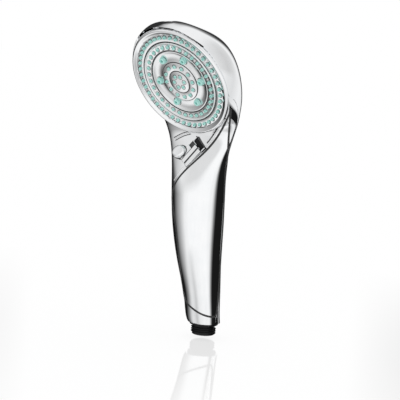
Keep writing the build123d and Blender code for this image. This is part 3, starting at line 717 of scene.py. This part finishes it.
# Beads along these lines: name, line, finish and slot, then how far aside each one runs, its radius,
# how far it is sunk into the skin and the heights that it runs between
# The black and near black cords in it are painted shade beside the chrome beads
BEADS = [
    ("seam_bead", COVER_EDGE, trim_chrome, "chrome_trim", 2.4, 0.62, 0.2, 130, 186),
    ("rib_line", COVER_EDGE, rubber_and_shade, "seal_rubber", 3.5, 0.5, 0.15, 163, 184),
    ("rib_bead", COVER_EDGE, trim_chrome, "chrome_trim", 4.5, 0.5, 0.1, 165, 183),
    ("neck_line_high", NECK_STEP, shade_chrome, "chrome_trim", -1.2, 0.42, 0.1, 0, 194),
    ("neck_bead", NECK_STEP, trim_chrome, "chrome_trim", 0.0, 0.62, 0.1, 0, 194),
    ("neck_line_low", NECK_STEP, shade_chrome, "chrome_trim", 1.2, 0.42, 0.1, 0, 194),
]
PATH_STEPS = 14
RAY_START = 200
FORM_SLACK = 0.5
EASING_ROUNDS = 3
CORD_CREASE = 60

# Black cord of painted shade in the gap round the cover: its radius, how far it is sunk, the step between
# its places and the fewest of them in a run, then how near to the form and how square to it the cover's
# outer skin is
SEAM_RADIUS = 0.9
SEAM_SINK = 0.2
SEAM_STEP = 1.2
SEAM_SHORTEST = 8
RIM_REACH = 1.3
RIM_AGREEMENT = 0.98
PLACE_DIGITS = 7


def rounded_path(points, steps):
    """Points along a smooth line through the given ones."""
    ends = [points[0]] + points + [points[-1]]
    path = []
    for index in range(len(points) - 1):
        a, b, c, d = (Vector(point) for point in ends[index : index + 4])
        for step in range(steps):
            s = step / steps
            square = (2 * a - 5 * b + 4 * c - d) * s**2
            cube = (3 * b - a - 3 * c + d) * s**3
            path.append(0.5 * (2 * b + (c - a) * s + square + cube))
    return path + [Vector(points[-1])]


shell_vertices = []
shell_faces = []
for node in ("rear_shell", "front_shell", "wrap_cover"):
    start = len(shell_vertices)
    shell_vertices += [vertex.co.copy() for vertex in nodes[node].data.vertices]
    shell_faces += [[start + index for index in polygon.vertices] for polygon in nodes[node].data.polygons]
shell_tree = BVHTree.FromPolygons(shell_vertices, shell_faces)


def bead(name, points, aside, radius, sink, low, high):
    """Round bead on the body's skin along a line drawn in the cover's view, moved aside from it."""
    path = rounded_path(points, PATH_STEPS)
    spots = []
    for index, place in enumerate(path):
        way = (path[min(index + 1, len(path) - 1)] - path[max(index - 1, 0)]).normalized()
        place = place + Vector((way.y, -way.x)) * aside
        start = (view_right * place.x + Vector((0, 0, place.y)) + view_out * RAY_START) * MM
        spot = shell_tree.ray_cast(start, -view_out)[0]
        if spot and form_normal(spot)[1] > FORM_SLACK * MM:
            spot = form_tree.ray_cast(start, -view_out)[0]
        if spot and low <= place.y <= high:
            spots.append(spot - form_normal(spot)[0] * sink * MM)
    return cord(name, spots, radius, False)


def cord(name, spots, radius, closed):
    """Round cord through a row of places, eased a little."""
    for _ in range(EASING_ROUNDS):
        inner = [(a + b * 2 + c) / 4 for a, b, c in zip(spots, spots[1:], spots[2:])]
        spots = [spots[0]] + inner + [spots[-1]]
    curve = bpy.data.curves.new(name, "CURVE")
    curve.dimensions = "3D"
    curve.bevel_depth = radius * MM
    curve.bevel_resolution = 2
    curve.use_fill_caps = True
    line = curve.splines.new("POLY")
    line.points.add(len(spots) - 1)
    line.use_cyclic_u = closed
    for point, spot in zip(line.points, spots):
        point.co = (*spot, 1)
    piece = bpy.data.objects.new(name, curve)
    bpy.context.scene.collection.objects.link(piece)
    activate(piece)
    bpy.ops.object.convert(target="MESH")
    piece = bpy.context.object
    smooth(piece, CORD_CREASE)
    return piece


def outline(name, node, radius, sink, step):
    """Round cord along the line where a piece's outer skin turns into its rim."""
    mesh = nodes[node].data
    places = [tuple(round(part, PLACE_DIGITS) for part in vertex.co) for vertex in mesh.vertices]
    sides = {}
    for polygon in mesh.polygons:
        normal, gap = form_normal(polygon.center)
        outer = gap < RIM_REACH * MM and polygon.normal.dot(normal) > RIM_AGREEMENT
        corners = [places[index] for index in polygon.vertices]
        for pair in zip(corners, corners[1:] + corners[:1]):
            sides.setdefault(tuple(sorted(pair)), set()).add(outer)
    joined = {}
    for pair, kinds in sides.items():
        if len(kinds) == 2:
            joined.setdefault(pair[0], []).append(pair[1])
            joined.setdefault(pair[1], []).append(pair[0])
    cords = []
    unused = set(joined)
    while unused:
        walk = [unused.pop()]
        # From the first place one way along the rim, and then the other
        for _ in range(2):
            walk.reverse()
            ahead = [place for place in joined[walk[-1]] if place in unused]
            while ahead:
                walk.append(ahead[0])
                unused.discard(ahead[0])
                ahead = [place for place in joined[walk[-1]] if place in unused]
        spots = []
        for place in map(Vector, walk):
            if not spots or (place - spots[-1]).length > step * MM:
                spots.append(place)
        spots = [spot - form_normal(spot)[0] * sink * MM for spot in spots]
        if len(spots) > SEAM_SHORTEST:
            closed = (spots[0] - spots[-1]).length < 3 * step * MM
            cords.append(cord(name + "_run", spots, radius, closed))
    return join(cords, name)


# Black cord round the cover's rim: painted shade in the gap between the cover and the shells
seam = outline("seam_line", "wrap_cover", SEAM_RADIUS, SEAM_SINK, SEAM_STEP)
dress(seam, rubber_and_shade, "seal_rubber", "handset")
for name, line, look, slot, *sizes in BEADS:
    dress(bead(name, line, *sizes), look, slot, "handset")

# Painted shade in the slider's pocket: a black floor and end wall where the open end of the pocket lies in
# shade
pocket_shade_floor = rounded_block("pocket_shade_floor", (-9.25, -5.75, -3.33), (13.3, 8.25, -3.12), 0.05)
pocket_shade_end = rounded_block("pocket_shade_end", (13.05, -5.75, -3.3), (13.32, 8.25, -0.2), 0.05)
pocket_shade = join([pocket_shade_floor, pocket_shade_end], "pocket_shade_block")
settle(pocket_shade, slide_frame)
dress(pocket_shade, black_plastic_and_shade, "black_plastic", "handset")

# Soft nozzles, each a tapered cup with a rounded rim and an open bore, standing on its collar
small_profile = [
    (0.0, -1.0), (1.5, -1.0), (1.5, 0.9), (1.45, 1.2), (1.38, 1.5), (1.3, 1.9), (1.2, 2.2),
    (1.05, 2.36), (0.85, 2.4), (0.62, 2.3), (0.5, 2.05), (0.46, 0.8), (0.0, 0.8),
]
SMALL_STEPS = 16
JET_STEPS = 24
FACE_STEPS = 128
SEAT_DEPTH = 0.3
GROOVE_DEPTH = 0.5


def seat_ring(name, section, level, steps, radius, count):
    """Ring of seats for painted shade: low collars round the nozzles' feet, from the radii and rises of one
    section.
    """
    inner, outer, outer_rise, shoulder, shoulder_rise = section
    foot = level - SEAT_DEPTH
    profile = [
        (inner, foot), (outer, foot), (outer, level + outer_rise),
        (shoulder, level + shoulder_rise), (inner, foot),
    ]
    seat = lathe("nozzle_seat", profile, steps)
    seat_copies = ring_of(seat, radius, count, RING_START, name)
    bpy.data.objects.remove(seat)
    return seat_copies


small_nozzle = lathe("small_nozzle", small_profile, SMALL_STEPS)
smooth(small_nozzle, 50)
small_seat = (1.45, 2.2, 0.03, 1.9, 0.1)
seats = []
for node, (radius, count) in RINGS.items():
    ring = ring_of(small_nozzle, radius, count, RING_START, node + "_soft")
    settle(ring, face_frame)
    dress(ring, nozzle_green, "silicone", "handset", node)
    seats.append(seat_ring(node + "_seats", small_seat, SEAT_LEVELS[node], SMALL_STEPS, radius, count))
bpy.data.objects.remove(small_nozzle)

jet_profile = [
    (0.0, -1.6), (3.05, -1.6), (3.05, 0.2), (2.95, 0.75), (2.85, 1.0), (2.7, 1.6), (2.45, 2.1),
    (2.1, 2.36), (1.6, 2.4), (1.2, 2.2), (1.0, 1.8), (0.9, 0.2), (0.0, 0.2),
]
jet_nozzle = lathe("jet_nozzle", jet_profile, JET_STEPS)
smooth(jet_nozzle, 50)
jet_seat = (2.95, 3.7, 0.06, 3.4, 0.2)
radius, count = JET_RING
jets = ring_of(jet_nozzle, radius, count, RING_START, "jet_nozzles_soft")
settle(jets, face_frame)
dress(jets, nozzle_green, "silicone", "handset", "jet_nozzles")
bpy.data.objects.remove(jet_nozzle)
seats.append(seat_ring("jet_seats", jet_seat, JET_SEAT_LEVEL, JET_STEPS, radius, count))
# Near black fillers sunk in the face's grooves: painted shade
for inner, outer, level in GROOVES:
    foot = level - GROOVE_DEPTH
    groove_profile = [(inner, foot), (outer, foot), (outer, level), (inner, level), (inner, foot)]
    seats.append(lathe("groove_shade", groove_profile, FACE_STEPS))
# Seats and groove fillers, dressed in near black chrome: painted shade round the nozzles and in the face's
# grooves
nozzle_shade_rings = join(seats, "nozzle_shade_rings")
settle(nozzle_shade_rings, face_frame)
smooth(nozzle_shade_rings, 40)
dress(nozzle_shade_rings, shade_chrome, "face_silver", "handset")

# Spray face: hub, stepped bands, the jets' channel and a rounded ridge
face_profile = [
    (0.0, -1.9), (42.9, -1.9), (42.9, -0.6), (42.5, -0.6), (42.4, 0.4), (42.1, 0.55), (41.6, 0.62),
    (38.5, 0.85), (36.3, 1.03), (36.1, 0.93), (36.05, -0.2), (35.2, -0.2), (35.15, 1.2), (34.9, 1.6),
    (34.6, 1.8), (34.2, 1.85), (33.9, 1.75), (33.7, 1.4), (33.4, 1.2), (30.8, 1.12), (28.5, 1.02),
    (28.25, 0.9), (28.2, -0.9), (27.25, -0.9), (27.2, 0.7), (26.9, 0.85), (26.3, 0.75), (25.5, 0.42),
    (24.0, 0.05), (22.0, -0.18), (20.0, -0.1), (18.4, 0.1), (17.6, 0.3), (17.55, -0.5), (17.05, -0.5),
    (17.0, 0.9), (16.7, 1.02), (13.4, 1.15), (10.5, 1.28), (10.2, 1.2), (10.15, 0.0), (9.45, 0.0),
    (9.4, 1.45), (9.1, 1.58), (5.0, 1.62), (0.0, 1.62),
]
spray_face = lathe("spray_face", face_profile, FACE_STEPS)
settle(spray_face, face_frame)
smooth(spray_face, 55)
dress(spray_face, face_silver, "face_silver", "handset", "face_plate")

# Camera at the photograph's angle
towards = Vector(
    (
        math.sin(PHOTO_TURN) * math.cos(PHOTO_RISE),
        -math.cos(PHOTO_TURN) * math.cos(PHOTO_RISE),
        math.sin(PHOTO_RISE),
    )
)
above = towards.cross(view_right)
camera_right = view_right * math.cos(PHOTO_ROLL) + above * math.sin(PHOTO_ROLL)
camera_up = above * math.cos(PHOTO_ROLL) - view_right * math.sin(PHOTO_ROLL)
off_right = (PHOTO_SIDE / 2 - ORIGIN_PIXEL[0]) * PHOTO_MM_PER_PIXEL * MM
off_up = (ORIGIN_PIXEL[1] - PHOTO_SIDE / 2) * PHOTO_MM_PER_PIXEL * MM
half_view = PHOTO_SIDE / 2 * PHOTO_MM_PER_PIXEL * MM
middle = (cad_low + cad_high) / 2
distance = half_view * 2 * CAMERA_LENS / CAMERA_SENSOR + middle.dot(towards)
camera_place = camera_right * off_right + camera_up * off_up + towards * distance
camera_data = bpy.data.cameras.new("photo camera")
camera_data.lens = CAMERA_LENS
camera_data.sensor_width = CAMERA_SENSOR
camera = bpy.data.objects.new("photo camera", camera_data)
bpy.context.scene.collection.objects.link(camera)
camera.matrix_world = axes_at(camera_place, camera_right, camera_up, towards)
bpy.context.scene.camera = camera

# Pale floor that keeps the shadow, with a sheen that fades away from the part
FLOOR_SIZE = 6.0
FLOOR_DROP = 3.0
FLOOR_GLOW = 0.85
FLOOR_SHEEN = [(0.12, 0.2), (0.42, 0.0)]
deselect()
bpy.ops.mesh.primitive_plane_add(size=FLOOR_SIZE, location=(0, 0, cad_low.z - FLOOR_DROP * MM))
floor = bpy.context.object
floor.name = "floor"
floor_material, floor_look = new_material("pale floor")
floor.data.materials.append(floor_material)
floor.visible_glossy = False
paper = floor_look.node("ShaderNodeBsdfDiffuse", None, {"Color": (0.95, 0.95, 0.95, 1)})
white = floor_look.node("ShaderNodeEmission", None, {"Color": (1, 1, 1, 1), "Strength": 1.0})
sheen = floor_look.node("ShaderNodeBsdfGlossy", None, {"Color": (1, 1, 1, 1), "Roughness": 0.05})
lit = floor_look.mix(FLOOR_GLOW, paper, white)
floor_spot = floor_look.out(floor_look.node("ShaderNodeTexCoord"), "Object")
from_part = floor_look.node("ShaderNodeVectorMath", {"operation": "LENGTH"}, {0: floor_spot})
near = floor_look.greys(floor_look.out(from_part, "Value"), FLOOR_SHEEN)
floor_look.end("ShaderNodeOutputMaterial", floor_look.mix(near, lit, sheen))

# Black card beside the handle, for reflections alone. Rays that rise pass through it, so that the floor
# doesn't mirror it. It is soft along its front edge and fades to a pale tone at its top.
CARD_MIDDLE = Vector((115, 22, 3)) * MM
CARD_SIZE = Vector((200, 246)) * MM
CARD_FRONT = [(0.68, 0.01), (0.77, 0.22), (0.87, 0.68), (1.0, 0.98)]
CARD_TOP = [(0.94, 0), (1.0, 1)]
CARD_TOP_TONE = 0.88
upright = Vector((0, 0, 1))
deselect()
bpy.ops.mesh.primitive_plane_add(size=1.0)
card = bpy.context.object
card.name = "side_card"
card_place = view_right * CARD_MIDDLE.x + view_out * CARD_MIDDLE.y + upright * CARD_MIDDLE.z
card_stretch = Matrix.Diagonal((*CARD_SIZE, 1, 1))
card.matrix_world = axes_at(card_place, view_out, upright, view_right) @ card_stretch
card.visible_camera = False
card.visible_diffuse = False
card.visible_shadow = False
card_material, card_look = new_material("black card")
card.data.materials.append(card_material)
card_spot = card_look.out(card_look.node("ShaderNodeTexCoord"), "Object")
card_front = card_look.greys(card_look.part(card_spot, "X") + 0.5, CARD_FRONT)
card_top = card_look.greys(card_look.part(card_spot, "Y") + 0.5, CARD_TOP)
card_tone = card_front + (CARD_TOP_TONE - card_front) * card_top
card_light = card_look.node("ShaderNodeEmission", None, {"Color": card_tone, "Strength": 1.0})
card_clear = card_look.node("ShaderNodeBsdfTransparent")
came = card_look.out(card_look.node("ShaderNodeNewGeometry"), "Incoming")
from_above = card_look.part(came, "Z") > 0.0
card_look.end("ShaderNodeOutputMaterial", card_look.mix(from_above, card_clear, card_light))

# Studio that the chrome mirrors: white round the camera and overhead, and dark behind the object. Each list
# gives tones by degrees round the object from the camera, positive to its right: at middle heights, low down
# and high up, and then where a white backdrop stands straight behind.
FLAGS = [
    (-180, 0.01), (-128, 0.01), (-114, 0.16), (-88, 0.5), (-64, 0.9), (-44, 1.0), (38, 1.0),
    (60, 0.86), (84, 0.8), (112, 0.95), (126, 0.9), (146, 0.03), (180, 0.01),
]
LOW_FLAGS = [
    (-180, 0.9), (-162, 0.2), (-142, 0.2), (-124, 0.85), (-104, 1.0), (-82, 0.97), (-66, 0.72),
    (-46, 0.5), (-24, 0.85), (10, 0.96), (45, 0.78), (95, 0.42), (140, 0.5), (180, 0.9),
]
HIGH_FLAGS = [
    (-180, 0.03), (-142, 0.03), (-126, 0.34), (-105, 0.66), (-85, 0.84), (-60, 0.74), (-20, 0.76),
    (10, 0.92), (40, 0.8), (66, 0.66), (82, 0.72), (102, 0.97), (122, 0.9), (146, 0.05), (180, 0.03),
]
BEHIND = [(-180, 1), (-174, 1), (-172, 0), (172, 0), (174, 1), (180, 1)]
# Where they take over from the middle tones, by height from straight down at 0 to straight up at 1
HIGH_FROM = [(0.42, 0), (0.52, 1)]
LOW_UNTIL = [(0.13, 1), (0.21, 0)]
OVERHEAD_FROM = [(0.78, 0), (0.9, 0.3), (0.98, 1)]
BEHIND_UNTIL = [(0.64, 1), (0.68, 0)]
OVERHEAD_TONE = 0.95
ROOM_LIGHT = 1.05
world = bpy.data.worlds.new("studio")
bpy.context.scene.world = world
world.use_nodes = True
studio = Finish(world.node_tree)


def along(axis):
    """How far a ray's direction points along an axis."""
    where = studio.out(studio.node("ShaderNodeTexCoord"), "Generated")
    made = studio.node("ShaderNodeVectorMath", {"operation": "DOT_PRODUCT"}, {0: where, 1: axis})
    return studio.out(made, "Value")


sideways = along(view_right)
turned = sideways.math("ARCTAN2", sideways, along(view_out)) * (0.5 / math.pi) + 0.5


def round_greys(stops):
    """Tones by the turn from the camera."""
    return studio.greys(turned, [((turn + 180) / 360, tone) for turn, tone in stops])


height = along(upright) * 0.5 + 0.5
shade = round_greys(FLAGS)
shade = shade + (round_greys(HIGH_FLAGS) - shade) * studio.greys(height, HIGH_FROM)
shade = shade + (round_greys(LOW_FLAGS) - shade) * studio.greys(height, LOW_UNTIL)
shade = shade + studio.greys(height, OVERHEAD_FROM) * (OVERHEAD_TONE - shade)
backdrop = round_greys(BEHIND) * studio.greys(height, BEHIND_UNTIL)
shade = shade + backdrop * (1.0 - shade)
room = studio.node("ShaderNodeBackground", None, {"Color": (1, 1, 1, 1), "Strength": ROOM_LIGHT})
seen = studio.node("ShaderNodeBackground", None, {"Color": (1, 1, 1, 1), "Strength": 1.0})
flags = studio.node("ShaderNodeBackground", None, {"Color": shade, "Strength": 1.0})
rays = studio.node("ShaderNodeLightPath")
mirrored = studio.out(rays, "Is Glossy Ray") + studio.out(rays, "Is Transmission Ray")
unseen = studio.mix(mirrored, room, flags)
studio.end("ShaderNodeOutputWorld", studio.mix(studio.out(rays, "Is Camera Ray"), unseen, seen))

bpy.context.scene.view_settings.view_transform = "Standard"
